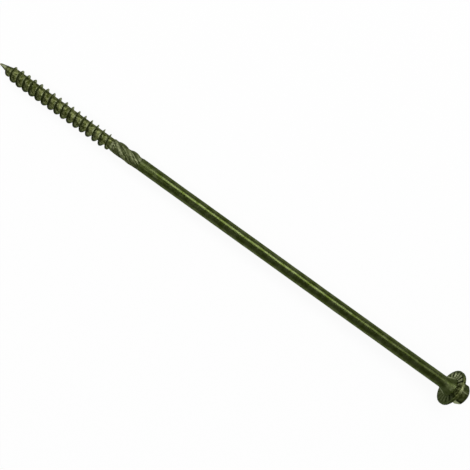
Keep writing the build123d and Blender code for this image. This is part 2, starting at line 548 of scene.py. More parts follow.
@dataclass(frozen=True)
class Flutes:
    """Twisted ribs between thread and shank, with the fine strands that rolling leaves."""

    sizes: ScrewSizes
    thread: Thread
    # Course and section of the ribs
    overlap: float = 2.9 * MM
    length: float = 14.25 * MM
    count: int = 4
    lead: float = 23.2 * MM
    valley_radius: float = 2.4 * MM
    valley_round: float = 0.1 * MM
    rib_height: float = 0.55 * MM
    rib_width: float = 1.9 * MM
    rib_start: float = 1.4 * MM
    rib_taper: float = 2.8 * MM
    rib_direction: float = 24.0
    flat_side: Sector = Sector(100.0, 30.0, 50.0, 0.75)
    flat_height: float = 0.38 * MM
    first_share: float = 0.97
    last_share: float = 0.98
    # Fine strands, and the uneven streaks along them
    strand_count: int = 14
    strand_lead: float = 30.0 * MM
    strand_height: float = 0.055 * MM
    streak: Swell = Swell(1.5 * MM, 5)
    streak_stretch: float = 4.0
    # Scuffed ribs with painted highlight streaks, and painted shade in streaks and valleys
    rib_scuff_and_highlight: Span = (0.075, 0.325)
    worn_all_round: float = 0.06
    lit_strands: Sector = Sector(-5.0, 25.0, 40.0, 0.5)
    lit_streaks: Span = (-0.5714, 0.8571)
    shade_streaks: Span = (-0.2222, -0.9444)
    shade_streak_part: Span = (0.0, 0.25)
    valley_part: Span = (0.3611, 0.0)
    valley_shade: float = 0.65

    @property
    def start(self) -> float:
        """Height at which the flutes begin."""
        return self.thread.end - self.overlap

    @property
    def end(self) -> float:
        """Height at which they end."""
        return self.start + self.length

    def ribs(self, along: Array, angle: Array) -> Array:
        """Radius of the ribs where they are full.

        A rib is a circle of radius b about a point at distance a from the axis, so its
        polar radius is a cos(t) + sqrt(b^2 - a^2 sin^2(t)), at angle t from the rib.

        Args:
            along: distances from the start of the flutes.
            angle: angles round the axis in radians.

        Returns:
            The radius, which is the valley's between the ribs.
        """
        turned = angle - math.radians(self.rib_direction) - TURN * along / self.lead
        step = TURN / self.count
        from_rib = turned - np.round(turned / step) * step
        bend = self.rib_width / 2
        ring = self.valley_radius + self.rib_height - bend
        inside = np.maximum(bend**2 - (ring * np.sin(from_rib)) ** 2, 0.0)
        rib = ring * np.cos(from_rib) + np.sqrt(inside)
        return self.valley_radius + soft_top(rib - self.valley_radius, self.valley_round)

    def surface(self, at: Polar) -> tuple[Array, Array]:
        """Radius of the ribs with their strands, flatter on one side and faded at the ends.

        The strands add height * (cos(count * (t - turn along / lead)) - 1). With s the way
        through an end, the radius goes from the core's to the ribs' by s (2 - s).

        Args:
            at: places of the grid.

        Returns:
            The radius, and the share from valley to rib crest; both 0 outside the flutes.
        """
        along = at.height - self.start
        radius = self.ribs(along, at.angle)
        share = (radius - self.valley_radius) / self.rib_height
        flat = self.valley_radius + self.flat_height
        radius = radius + (flat - radius) * self.flat_side.share(at.angle)
        strands = np.cos(self.strand_count * (at.angle - TURN * along / self.strand_lead))
        radius = radius + self.strand_height * (strands - 1.0)
        start = ramp(along, 0.0, self.rib_start)
        end = ramp(along, self.length, self.length - self.rib_taper)
        start, end = start * (2.0 - start), end * (2.0 - end)
        low = self.sizes.root_radius * self.first_share
        radius = low + (radius - low) * start
        high = self.sizes.shank_radius * self.last_share
        radius = high + (radius - high) * end
        share = (share + (strands + 1.0) / 2) / 2
        share = np.clip(share, 0.0, 1.0) * start * end
        fluted = (along > 0.0) & (along < self.length)
        return np.where(fluted, radius, 0.0), np.where(fluted, share, 0.0)

    def streaks(self, at: Polar) -> Array:
        """Uneven swell drawn out along the strands.

        It is the swell of (r cos(u), r sin(u), h / stretch), with u the turn away from
        the strand.

        Args:
            at: places of the grid.

        Returns:
            The swell, between about -1 and 1.
        """
        along = at.height - self.start
        turned = at.angle - TURN * along / self.strand_lead
        drawn = Polar(self.sizes.shank_radius, turned, along / self.streak_stretch)
        return self.streak.at(drawn.places())

    def mark(self, mark_shares: MarkShares, at: Polar, share: Array) -> None:
        """Scuff the ribs with painted highlight streaks, and paint shade in streaks and valleys.

        Args:
            mark_shares: the marks.
            at: places of the grid.
            share: share from valley to rib crest.
        """
        streaks = self.streaks(at)
        # Scuffs all round, and painted highlight streaks in the lit sector.
        lit = self.lit_strands.share(at.angle) * ramp(streaks, *self.lit_streaks)
        mark_shares.add(Mark.EDGE, ramp(share, *self.rib_scuff_and_highlight) * (self.worn_all_round + lit))
        # Painted shade in dark streaks and in the valleys.
        streak_shade = ramp(streaks, *self.shade_streaks) * ramp(share, *self.shade_streak_part)
        mark_shares.add(Mark.SHADE, self.valley_shade * streak_shade)
        valley = self.valley_shade * ramp(share, *self.valley_part)
        mark_shares.add(Mark.SHADE, valley, share > 0.0)


@dataclass(frozen=True)
class Slash:
    """Flat cut on one side of the point: its middle in steel colour, which is also a painted
    highlight, with a painted shade line round it.

    Across the flat a place is |sin(t - middle)|, with t the turn away from the slash.
    """

    sizes: ScrewSizes
    # The cut
    length: float = 3.4 * MM
    depth: float = 0.13 * MM
    direction: float = -20.0
    # The steel-coloured middle with its painted highlight, and the painted shade line
    middle: float = 0.2
    end_share: float = 1.02
    bare_start: float = 0.8 * MM
    bare_part: Span = (0.52, 0.40)
    framed_part: Span = (0.6, 0.7)
    end_line: float = 0.5 * MM
    soft: float = 0.2 * MM

    def pressed(self, points: Array) -> Array:
        """Press the point's skin onto the flat.

        In axes turned to the slash, a place past the plane x = z tan(l) - d moves onto
        it, and its y is held within the chord sqrt(r^2 - x^2).

        Args:
            points: array (rows, columns, 3), upright.

        Returns:
            The changed array.
        """
        turn = math.radians(self.direction)
        cosine, sine = math.cos(turn), math.sin(turn)
        z = points[..., 2]
        x = points[..., 0] * cosine + points[..., 1] * sine
        y = points[..., 1] * cosine - points[..., 0] * sine
        reach = self.sizes.cone(self.length) + self.depth
        plane = z * reach / self.length - self.depth
        chord = np.sqrt(np.maximum(np.hypot(x, y) ** 2 - plane**2, 0.0))
        past = (x > plane) & (z < self.length)
        x = np.where(past, plane, x)
        y = np.where(past, np.clip(y, -chord, chord), y)
        return np.stack((x * cosine - y * sine, y * cosine + x * sine, z), axis=-1)

    def mark(self, mark_shares: MarkShares, at: Polar) -> None:
        """Paint the flat's middle in steel colour as a highlight, and shade along its sides and
        end.

        Args:
            mark_shares: the marks.
            at: places of the grid.
        """
        turned = at.angle - math.radians(self.direction)
        near = np.cos(turned) > 0.0
        across = np.where(near, np.abs(np.sin(turned - self.middle)), 1.0)
        end = self.length * self.end_share
        # Steel colour of the cut in the middle, also a painted highlight; painted shade round the
        # flat.
        bare_and_highlight = Band(self.bare_start, end - self.soft, self.soft).share(at.height)
        mark_shares.add(Mark.EDGE, bare_and_highlight * ramp(across, *self.bare_part))
        sides = ramp(at.height, end - self.soft, end - 2 * self.soft)
        mark_shares.add(Mark.SHADE, sides * ramp(across, *self.framed_part))
        mark_shares.add(Mark.SHADE, Band(end, end + self.end_line, self.soft).share(at.height), near)


@dataclass(frozen=True)
class ThreadedBody:
    """Point, thread, flutes, shank and neck as one continuous rolled surface.

    The radius is a function of the height above the tip and the angle round the axis.
    """

    place: RestPlace
    thread: Thread
    flutes: Flutes
    slash: Slash
    # Grid, and how its runs of rows meet
    columns: int = 128
    point_rows: int = 18
    flute_rows: int = 70
    shank_rows: int = 70
    neck_rows: int = 26
    first_climb_share: float = 0.9
    last_climb: float = 0.3 * MM
    flute_margin: float = 0.4 * MM
    neck_margin: float = 1.2 * MM
    first_neck_row: float = 0.15 * MM
    buried: float = 0.4 * MM
    # Transitions of the core
    cone_round: float = 0.05 * MM
    cone_share: float = 1.5
    step_length: float = 1.2 * MM
    flute_seam: float = 0.03 * MM
    # Uneven surface
    swell: Swell = Swell(1.6 * MM, 3)
    swell_height: float = 0.012 * MM
    swell_top: float = 2.0
    # Painted reflection streaks, a painted highlight and painted shade on the neck
    neck_span: Span = (-0.5 * MM, 2.6 * MM)
    neck_soft: float = 0.8 * MM
    neck_glint_high: Sector = Sector(-84.0, 7.0, 9.0)
    neck_glint_low: Sector = Sector(93.0, 5.0, 7.0)
    highlight_strength: float = 0.9
    lit_neck: Sector = Sector(2.0, 8.0, 14.0, 0.12)
    neck_shade: float = 0.2
    # Blotched roots, and dull parts
    root_fade: float = 3.0 * MM
    root_height: float = 1.2 * MM
    fluted_fade: float = 1.0 * MM
    fluted_gloss: float = 0.65
    dull_reach: float = 14.0 * MM
    neck_dull_reach: float = 3.0 * MM
    most_dull: float = 0.8

    @property
    def sizes(self) -> ScrewSizes:
        """Sizes of the whole screw."""
        return self.place.sizes

    def core(self, height: Array) -> Array:
        """Radius without thread and flutes: cone, root cylinder, shank, neck.

        The cone ends in a rounded corner, and the shank begins with the smooth step
        s^2 (3 - 2 s).

        Args:
            height: heights above the tip.

        Returns:
            The radius at each height.
        """
        sizes = self.sizes
        root = sizes.root_radius
        cone = root - soft_top(root - sizes.cone(height), self.cone_round)
        low = np.where(height > sizes.point_length * self.cone_share, root, cone)
        step = ramp(height, self.flutes.end - self.step_length, self.flutes.end)
        step = step * step * (3.0 - 2.0 * step)
        return low + (sizes.shank_radius - root) * step + self.neck(height)

    def neck(self, height: Array) -> Array:
        """How far the neck stands out of the shank.

        A circle of radius R is tangent to the shank and to the cone: R - sqrt(R^2 - s^2)
        up to the tangent point, and the cone's straight line above it.

        Args:
            height: heights above the tip.

        Returns:
            The extra radius at each height.
        """
        sizes = self.sizes
        slope = (sizes.neck_radius - sizes.shank_radius) / sizes.neck_length
        angle = math.atan(slope)
        start = sizes.neck_start - sizes.neck_blend * math.tan(angle / 2)
        reach = sizes.neck_blend * math.sin(angle)
        along = np.clip(height - start, 0.0, reach)
        arc = sizes.neck_blend - np.sqrt(sizes.neck_blend**2 - along**2)
        return arc + np.maximum(height - start - reach, 0.0) * slope

    def heights(self) -> Array:
        """Heights of the grid: level rows, rows that climb with the thread, level rows.

        Returns:
            An array (rows, columns + 1).
        """
        low = self.thread.start * self.first_climb_share
        high = self.thread.end + self.last_climb
        neck = self.sizes.neck_start - self.neck_margin
        end = self.sizes.length_under_head + self.buried
        flute_end = self.flutes.end + self.flute_margin
        runs = (
            (0.0, low, self.point_rows),
            (high, flute_end, self.flute_rows),
            (flute_end + self.flute_margin, neck, self.shank_rows),
            (neck + self.first_neck_row, end, self.neck_rows),
        )
        level = [
            np.linspace(first, last, rows)[:, None].repeat(self.columns + 1, axis=1)
            for first, last, rows in runs
        ]
        climb = self.thread.rows(low, high, self.columns)
        return np.concatenate((level[0], climb, *level[1:]))

    def mark_neck(self, mark_shares: MarkShares, at: Polar) -> None:
        """Paint reflection streaks on both sides of the neck, a highlight on its top and shade on
        the rest.

        Args:
            mark_shares: the marks.
            at: places of the grid.
        """
        low, high = self.neck_span
        neck = self.sizes.neck_start
        part = Band(neck + low, neck + high, self.neck_soft).share(at.height)
        # Painted reflection streaks on both sides, a painted highlight on top, painted shade
        # elsewhere.
        highlit = np.maximum(self.neck_glint_high.share(at.angle), self.neck_glint_low.share(at.angle))
        mark_shares.add(Mark.EDGE, self.highlight_strength * part * highlit)
        mark_shares.add(Mark.EDGE, part * self.lit_neck.share(at.angle))
        mark_shares.add(Mark.SHADE, self.neck_shade * part * (1.0 - highlit))

    def mark_roots(self, mark_shares: MarkShares, at: Polar, extra: Array) -> None:
        """Blotch the thread's roots, and dull the body up to past the flutes and at the neck.

        Args:
            mark_shares: the marks.
            at: places of the grid.
            extra: how far the thread stands out of the core.
        """
        flutes, neck = self.flutes, self.sizes.neck_start
        rolled = ramp(at.height, flutes.end, flutes.end - self.root_fade)
        fluted = ramp(at.height, flutes.start, flutes.start + self.fluted_fade)
        low = 1.0 - ramp(extra, 0.0, self.root_height)
        mark_shares.add(Mark.ROOT, rolled * low * (1.0 - self.fluted_gloss * fluted))
        mark_shares.add(Mark.DULL, rolled)
        after = ramp(at.height, flutes.end + self.dull_reach, flutes.end)
        mark_shares.add(Mark.DULL, self.most_dull * after)
        by_neck = ramp(at.height, neck - self.neck_dull_reach, neck)
        mark_shares.add(Mark.DULL, np.minimum(by_neck, self.most_dull))

    def skin(self) -> Skin:
        """The whole surface, with the tip and the hidden end closed to a point.

        Where the flutes stand out of thread and core they take over with a soft seam.
        The swell only goes inwards, and fades out before the point.

        Returns:
            The skin of the rolled body.
        """
        height = self.heights()
        angle = np.linspace(0.0, TURN, self.columns + 1)[None, :].repeat(len(height), axis=0)
        core = Polar(self.core(height), angle, height)
        ridge = self.thread.ridge(core)
        fluted, rib_share = self.flutes.surface(core)
        radius = core.radius + ridge.extra
        radius = radius + soft_top(fluted - radius, self.flute_seam)
        swell = self.swell.at(Polar(radius, angle, height).places()) - self.swell_top
        calm = ramp(height, self.sizes.point_length, 2 * self.sizes.point_length)
        at = Polar(radius + self.swell_height * swell * calm, angle, height)
        shape = self.slash.pressed(at.places())
        closing = shape[-1:] * np.array((0.0, 0.0, 1.0))
        opening = shape[:1].mean(axis=1, keepdims=True).repeat(shape.shape[1], axis=1)
        shape = np.concatenate((opening, shape, closing))
        mark_shares = MarkShares.none_on(height)
        self.thread.mark(mark_shares, at, ridge)
        self.slash.mark(mark_shares, at)
        self.flutes.mark(mark_shares, at, rib_share)
        self.mark_neck(mark_shares, at)
        self.mark_roots(mark_shares, at, ridge.extra)
        return Skin("rolled_body", self.place.laid(shape), mark_shares.with_end_rows())


@dataclass(frozen=True)
class Head:
    """Serrated flange and hex as one forged surface, carried round the axis."""

    place: RestPlace
    # Flange
    flange_rim: float = 1.05 * MM
    flange_slope: float = 0.5 * MM
    rim_margin: float = 0.04 * MM
    # Teeth, and the gullets between them
    tooth_count: int = 18
    tooth_height: float = 0.25 * MM
    tooth_margin: float = 0.75 * MM
    tooth_share: float = 0.9
    tooth_steep: float = 0.18 * MM
    tooth_direction: float = 5.0
    tooth_fade: Span = (0.4 * MM, 0.25 * MM)
    gullet_depth: float = 0.25 * MM
    gullet_reach: float = 0.45 * MM
    gullet_part: Span = (1.3 / 3.0, 0.1)
    # Hex
    hex_sides: int = 6
    hex_across_flats: float = 8.0 * MM
    hex_height: float = 4.97 * MM
    hex_direction: float = 41.2
    hex_edge_round: float = 0.3 * MM
    hex_foot: Span = (0.25 * MM, 0.2 * MM)
    chamfer_angle: float = 30.0
    chamfer_share: float = 0.95
    least_drop: float = 0.02 * MM
    dish_share: float = 0.6
    dish_depth: float = 0.45 * MM
    # Rounded corners of the section, and its grid
    face_start: float = 0.9
    blend_small: float = 0.12 * MM
    blend: float = 0.15 * MM
    blend_large: float = 0.2 * MM
    blend_share: float = 0.45
    corner_steps: int = 5
    run_step: float = 0.4 * MM
    columns: int = 432
    sharp: float = 50.0
    least_run: float = 1e-9
    least_radius: float = 1.0 * MM
    level: float = 0.1e-6
    # Uneven surface
    swell: Swell = Swell(1.3 * MM, 11)
    swell_height: float = 0.02 * MM
    swell_radius: float = 2.0 * MM
    # Scuffed teeth with painted highlight, and painted shade in gullets and on the bearing face
    toothed_start: float = 0.95
    scuffed_lit_tooth: Band = Band(0.4, 0.97, 0.15)
    tooth_foot: Span = (0.325, 0.075)
    lit_all_round: float = 0.10
    lit_teeth: Sector = Sector(-88.0, 44.0, 24.0, 0.60)
    dark_all_round: float = 0.3
    dark_gullets: Sector = Sector(-88.0, 46.0, 15.0, 0.7)
    dark_low_face: Sector = Sector(110.0, 60.0, 40.0, 0.55)
    dark_near_face: Sector = Sector(32.0, 10.0, 14.0, 0.7)
    lit_margin: Sector = Sector(-6.0, 4.0, 10.0, 0.5)
    # Painted highlight spot and painted shade on the rim and the flange's back
    rim_span: Span = (0.1 * MM, 0.2 * MM)
    highlight_spot: Sector = Sector(-15.0, 5.0, 16.0)
    spot_highlight: float = 0.4
    blotched_highlight: Sector = Sector(-15.0, 20.0, 30.0, 0.7)
    clear_of_patch: Sector = Sector(-15.0, 35.0, 20.0)
    rim_shade: float = 0.6
    # Painted reflection on one flat, painted highlight on one corner, painted shade on the hex
    hex_side_start: float = 0.3 * MM
    hex_side_share: float = 0.47
    reflecting_flat: Sector = Sector(71.2, 24.0, 3.0)
    highlight_strength: float = 0.9
    highlit_corner: Sector = Sector(-18.8, 2.5, 3.0, 0.45)
    highlit_corner_end: float = 0.9 * MM
    dark_corner: Sector = Sector(37.2, 3.0, 3.0, 0.85)
    dark_flat: Sector = Sector(-48.8, 24.0, 4.0, 0.55)
    front_flat: Sector = Sector(11.2, 22.0, 6.0, 0.15)
    hex_shade: float = 0.25
    hex_blotches: float = 0.35
    chamfer_shade: float = 0.85
    chamfer_span: Span = (0.55 * MM, 0.2 * MM)
    # Dull parts
    face_dull: float = 0.5
    side_dull: float = 0.4

    @property
    def sizes(self) -> ScrewSizes:
        """Sizes of the whole screw."""
        return self.place.sizes

    @property
    def face(self) -> float:
        """Height of the bearing face."""
        return self.sizes.length_under_head

    @property
    def flange_back(self) -> float:
        """Height at which the flange's slope meets the hex."""
        return self.face + self.flange_rim + self.flange_slope

    @property
    def end(self) -> float:
        """Height of the hex's end face."""
        return self.face + self.flange_rim + self.hex_height

    @property
    def toothed_radius(self) -> float:
        """Radius of the ring of teeth."""
        return self.sizes.flange_radius - self.tooth_margin

    def hex_radius(self, angle: Array) -> Array:
        """Polar radius of the hex with rounded upright edges.

        On a flat it is a / cos(t), with t counted from the flat's middle. Near a corner it
        is a circle of radius b at distance c: c cos(s) + sqrt(b^2 - c^2 sin^2(s)).

        Args:
            angle: angles round the axis in radians.

        Returns:
            The radius at each angle.
        """
        step = TURN / self.hex_sides
        apothem = self.hex_across_flats / 2
        from_corner = angle - math.radians(self.hex_direction)
        from_corner = from_corner - np.round(from_corner / step) * step
        flat = apothem / np.cos(step / 2 - np.abs(from_corner))
        bend = self.hex_edge_round
        centre = (apothem - bend) / math.cos(step / 2)
        tangent = math.atan2(bend * math.sin(step / 2), centre + bend * math.cos(step / 2))
        inside = np.maximum(bend**2 - (centre * np.sin(from_corner)) ** 2, 0.0)
        rounded = centre * np.cos(from_corner) + np.sqrt(inside)
        return np.where(np.abs(from_corner) < tangent, rounded, flat)

    def corners(self, angle: Array) -> tuple[Array, Array, Array]:
        """Corner points of the section at each angle, with how much each is rounded.

        Args:
            angle: angles of the columns in radians.

        Returns:
            Radii and heights, each (corners, columns), and the roundings (corners,).
        """
        sizes, face, end = self.sizes, self.face, self.end
        side = self.hex_radius(angle)
        flange = sizes.flange_radius - self.rim_margin
        chamfer = self.chamfer_share * self.hex_across_flats / 2
        slope = math.tan(math.radians(self.chamfer_angle))
        drop = np.maximum(side - chamfer, self.least_drop) * slope
        dish = self.dish_share * self.hex_across_flats / 2
        foot_out, foot_up = self.hex_foot
        listed = (
            (0.0, face, 0.0),
            (sizes.neck_radius * self.face_start, face, 0.0),
            (flange - self.tooth_margin, face, 0.0),
            (flange, face, sizes.rim_round),
            (flange, face + self.flange_rim, sizes.rim_round),
            (side + foot_out, self.flange_back, self.blend_large),
            (side, self.flange_back + foot_up, self.blend),
            (side, end - drop, self.blend_small),
            (np.minimum(side, chamfer), end, self.blend),
            (dish, end, self.blend_small),
            (dish - self.dish_depth, end - self.dish_depth, self.blend_large),
            (0.0, end - self.dish_depth, 0.0),
        )
        radii = np.stack([np.broadcast_to(radius, angle.shape) for radius, _, _ in listed])
        heights = np.stack([np.broadcast_to(height, angle.shape) for _, height, _ in listed])
        return radii, heights, np.array([rounding for _, _, rounding in listed])

    def section(self, radii: Array, heights: Array, rounds: Array) -> tuple[Array, Array]:
        """Round the section's corners and divide its long runs.

        A corner p with rounding w becomes the curve (1-t)^2 a + 2t(1-t) p + t^2 b, where a
        and b lie w before and after it, or less on a short run. Each run between curves is
        divided evenly.

        Args:
            radii: array (corners, columns).
            heights: array (corners, columns).
            rounds: rounding of each corner.

        Returns:
            Radii and heights of the finished rows.
        """
        keys = np.stack((radii, heights), axis=-1)
        runs = np.diff(keys, axis=0)
        lengths = np.linalg.norm(runs, axis=-1, keepdims=True)
        units = runs / np.maximum(lengths, self.least_run)
        rows = [keys[0]]
        for number in range(1, len(keys) - 1):
            before, after = lengths[number - 1], lengths[number]
            most = np.minimum(before, after) * self.blend_share
            width = np.minimum(rounds[number], most)
            first = keys[number] - units[number - 1] * width
            second = keys[number] + units[number] * width
            rows.extend(self.run(rows[-1], first))
            if rounds[number] > 0.0:
                for share in np.linspace(0.0, 1.0, self.corner_steps + 1)[1:]:
                    blend = first * (1 - share) ** 2 + keys[number] * 2 * share * (1 - share)
                    rows.append(blend + second * share**2)
        rows.extend(self.run(rows[-1], keys[-1]))
        made = np.stack(rows)
        return made[..., 0], made[..., 1]

    def run(self, start: Array, end: Array) -> list[Array]:
        """Even steps from one row to the next, none longer than about the run step.

        Args:
            start: the first row.
            end: the last row.

        Returns:
            The rows after the first one.
        """
        longest = float(np.linalg.norm(end - start, axis=-1).max())
        steps = max(1, round(longest / self.run_step))
        return [start + (end - start) * (number / steps) for number in range(1, steps + 1)]

    def teeth(self, radius: Array, angle: Array) -> Array:
        """How far the ratchet teeth stand out of the bearing face.

        Across a tooth the height climbs evenly to its peak and falls over the steep flank.
        It fades in at the neck and out before the rim. Between two teeth a narrow gullet
        is cut below the face.

        Args:
            radius: distances from the axis.
            angle: angles round the axis in radians.

        Returns:
            Heights of the teeth.
        """
        step = TURN / self.tooth_count
        turned = (angle - math.radians(self.tooth_direction)) / step
        across = turned - np.floor(turned + 0.5) + self.tooth_share / 2
        width = self.tooth_share * step * np.maximum(radius, self.least_radius)
        steep = self.tooth_steep / width
        place = across / self.tooth_share
        both = np.minimum(ramp(place, 0.0, 1.0 - steep), ramp(place, 1.0, 1.0 - steep))
        shape = np.where((place > 0.0) & (place < 1.0), both, 0.0)
        fade_in, fade_out = self.tooth_fade
        inner, outer = self.sizes.neck_radius - self.tooth_height, self.toothed_radius
        raised = self.tooth_height * shape * ramp(radius, outer, outer - fade_out)
        outer = outer + self.gullet_reach
        gullet = self.gullet_depth * ramp(shape, *self.gullet_part)
        gullet = gullet * ramp(radius, outer, outer - fade_out)
        return (raised - gullet) * ramp(radius, inner, inner + fade_in)

    def mark_face(self, mark_shares: MarkShares, at: Polar, tooth: Array) -> None:
        """Scuff the teeth, paint highlights on them and on the margin, and paint shade in the
        gullets, at the teeth's feet and in two sectors of the bearing face.

        Args:
            mark_shares: the marks.
            at: places of the grid.
            tooth: heights of the teeth.
        """
        bearing = at.height < self.face + self.level
        inner = self.sizes.neck_radius * self.toothed_start
        toothed = bearing & (at.radius > inner) & (at.radius < self.toothed_radius)
        raised = np.maximum(tooth, 0.0) / self.tooth_height
        # Tooth tops: scuffs all round and painted highlight in one sector; margin: painted
        # highlight.
        lit = self.lit_all_round + self.lit_teeth.share(at.angle)
        mark_shares.add(Mark.EDGE, self.scuffed_lit_tooth.share(raised) * lit, toothed)
        outside = bearing & (at.radius > self.toothed_radius)
        mark_shares.add(Mark.EDGE, self.lit_margin.share(at.angle), outside)
        # Painted shade in the gullets, at the teeth's feet and in two sectors of the face.
        dark = self.dark_all_round + self.dark_gullets.share(at.angle)
        mark_shares.add(Mark.SHADE, ramp(tooth, 0.0, -self.gullet_depth / 2) * dark)
        mark_shares.add(Mark.SHADE, ramp(raised, *self.tooth_foot) * dark, toothed)
        mark_shares.add(Mark.SHADE, self.dark_low_face.share(at.angle), bearing)
        mark_shares.add(Mark.SHADE, self.dark_near_face.share(at.angle), bearing)
        mark_shares.add(Mark.DULL, self.face_dull, bearing)
        mark_shares.add(Mark.DULL, self.side_dull, ~bearing)

    def mark_rim(self, mark_shares: MarkShares, at: Polar, hex_side: Array) -> None:
        """Paint a mottled highlight spot on the rim and the flange's back, and shade the rest of
        them.

        Args:
            mark_shares: the marks.
            at: places of the grid.
            hex_side: whether a place is on the side of the hex.
        """
        low, high = self.rim_span
        rim = (at.height > self.face + low) & (at.height < self.flange_back + high) & ~hex_side
        # Painted highlight spot, and painted shade away from it.
        highlight_spot = self.highlight_spot.share(at.angle)
        mark_shares.add(Mark.EDGE, self.spot_highlight * highlight_spot, rim)
        mark_shares.add(Mark.ROOT, highlight_spot, rim)
        mark_shares.add(Mark.ROOT, self.blotched_highlight.share(at.angle))
        mark_shares.add(Mark.DULL, self.side_dull * (1.0 + highlight_spot), rim)
        far = 1.0 - self.clear_of_patch.share(at.angle)
        mark_shares.add(Mark.SHADE, self.rim_shade * far, rim)

    def mark_hex(self, mark_shares: MarkShares, at: Polar, hex_side: Array) -> None:
        """Paint a reflection on one flat and a highlight on one corner of the hex, and shade the
        others and the chamfer.

        Args:
            mark_shares: the marks.
            at: places of the grid.
            hex_side: whether a place is on the side of the hex.
        """
        angle = at.angle
        # Painted reflection on one flat, painted highlight on one corner, painted shade on the
        # rest.
        highlit = self.reflecting_flat.share(angle)
        mark_shares.add(Mark.EDGE, self.highlight_strength * highlit, hex_side)
        low_part = hex_side & (at.height < self.end - self.highlit_corner_end)
        mark_shares.add(Mark.EDGE, self.highlit_corner.share(angle), low_part)
        mark_shares.add(Mark.SHADE, self.dark_corner.share(angle), hex_side)
        mark_shares.add(Mark.SHADE, self.dark_flat.share(angle), hex_side)
        shade = (self.hex_shade - self.front_flat.share(angle)) * (1.0 - highlit)
        mark_shares.add(Mark.SHADE, shade, hex_side)
        below, soft = self.chamfer_span
        chamfer = Band(self.end - below, self.end, soft).share(at.height)
        mark_shares.add(Mark.SHADE, self.chamfer_shade * chamfer * (1.0 - highlit))
        mark_shares.add(Mark.ROOT, self.hex_blotches, hex_side)

    def skin(self) -> Skin:
        """The whole surface, closed at both ends on the axis.

        A swell s dents it: places move inwards to r - height * s, and fade it out near
        the axis.

        Returns:
            The skin of the forged head.
        """
        angle = math.radians(self.hex_direction) + np.linspace(0.0, TURN, self.columns + 1)
        radii, heights = self.section(*self.corners(angle))
        at = Polar(radii, angle[None, :].repeat(len(radii), axis=0), heights)
        bearing = at.height < self.face + self.level
        tooth = np.where(bearing, self.teeth(at.radius, at.angle), 0.0)
        shape = at._replace(height=at.height - tooth).places()
        dent = self.swell_height * self.swell.at(shape) * ramp(at.radius, 0.0, self.swell_radius)
        scale = np.minimum(1.0 - dent / np.maximum(at.radius, self.least_radius), 1.0)
        shape = shape * np.stack((scale, scale, np.ones_like(scale)), axis=-1)
        hex_side = at.height > self.flange_back + self.hex_side_start
        hex_side &= at.radius > self.hex_across_flats * self.hex_side_share
        mark_shares = MarkShares.none_on(at.radius)
        self.mark_face(mark_shares, at, tooth)
        self.mark_rim(mark_shares, at, hex_side)
        self.mark_hex(mark_shares, at, hex_side)
        return Skin("forged_head", self.place.laid(shape), mark_shares, self.sharp)


@dataclass(frozen=True)
class Cloud:
    """A cloudy pattern.

    Attributes:
        scale: swells per metre.
        detail: how many finer layers are added.
        rough: strength of each finer layer.
    """

    scale: float
    detail: float
    rough: float = 0.55


@dataclass(frozen=True)
class Relief:
    """Depth of a bumpy pattern in metres, and how much of it shows."""

    depth: float
    strength: float


@dataclass(frozen=True)
class NodeDesk:
    """Adds shader nodes to one node tree and joins them."""

    tree: bpy.types.NodeTree

    def give(self, socket: Socket, value: Given) -> None:
        """Give an input a constant, or join another node's output to it.

        Args:
            socket: the input.
            value: the constant or the output.
        """
        if isinstance(value, Socket):
            self.tree.links.new(value, socket)
        else:
            socket.default_value = value

    def noise(self, cloud: Cloud) -> Socket:
        """Cloudy pattern between 0 and 1 on object coordinates.

        Args:
            cloud: the pattern.

        Returns:
            The pattern's value.
        """
        place = self.tree.nodes.new("ShaderNodeTexCoord")
        made = self.tree.nodes.new("ShaderNodeTexNoise")
        self.give(made.inputs["Vector"], place.outputs["Object"])
        self.give(made.inputs["Scale"], cloud.scale)
        self.give(made.inputs["Detail"], cloud.detail)
        self.give(made.inputs["Roughness"], cloud.rough)
        return made.outputs["Fac"]

    def span(self, value: Socket, old: Span, new: Span = (0.0, 1.0)) -> Socket:
        """Carry a value from one span to another with soft ends, held inside.

        Args:
            value: the value's output.
            old: its low and high ends.
            new: the ends that they become.

        Returns:
            The carried value.
        """
        made = self.tree.nodes.new("ShaderNodeMapRange")
        made.interpolation_type = "SMOOTHSTEP"
        for name, number in zip(("From Min", "From Max", "To Min", "To Max"), (*old, *new)):
            self.give(made.inputs[name], number)
        self.give(made.inputs["Value"], value)
        return made.outputs["Result"]

    def mix(self, share: Given, first: Given, second: Given) -> Socket:
        """First colour times (1 - share) plus second colour times share.

        Args:
            share: share of the second colour.
            first: the first colour.
            second: the second colour.

        Returns:
            The mixed colour.
        """
        made = self.tree.nodes.new("ShaderNodeMix")
        made.data_type = "RGBA"
        self.give(made.inputs["Factor"], share)
        ends = [socket for socket in made.inputs if socket.type == "RGBA"]
        self.give(ends[0], first)
        self.give(ends[1], second)
        return [socket for socket in made.outputs if socket.type == "RGBA"][0]

    def reckon(self, kind: Sum, first: Given, second: Given) -> Socket:
        """Join two values by a sum.

        Args:
            kind: the kind of sum.
            first: the first value.
            second: the second value.

        Returns:
            What the sum gives.
        """
        made = self.tree.nodes.new("ShaderNodeMath")
        made.operation = kind.value
        self.give(made.inputs[0], first)
        self.give(made.inputs[1], second)
        return made.outputs["Value"]

    def mark(self, mark: Mark) -> Socket:
        """The value of a mark, read from its point attribute.

        Args:
            mark: the mark.

        Returns:
            Its value.
        """
        made = self.tree.nodes.new("ShaderNodeAttribute")
        made.attribute_name = mark.value
        return made.outputs["Fac"]

    def bump(self, height: Socket, relief: Relief, under: Socket | None = None) -> Socket:
        """Relief from a pattern.

        Args:
            height: the pattern's value.
            relief: its depth and strength.
            under: normal of another relief below this one.

        Returns:
            The bent normal.
        """
        made = self.tree.nodes.new("ShaderNodeBump")
        self.give(made.inputs["Height"], height)
        self.give(made.inputs["Distance"], relief.depth)
        self.give(made.inputs["Strength"], relief.strength)
        if under is not None:
            self.give(made.inputs["Normal"], under)
        return made.outputs["Normal"]


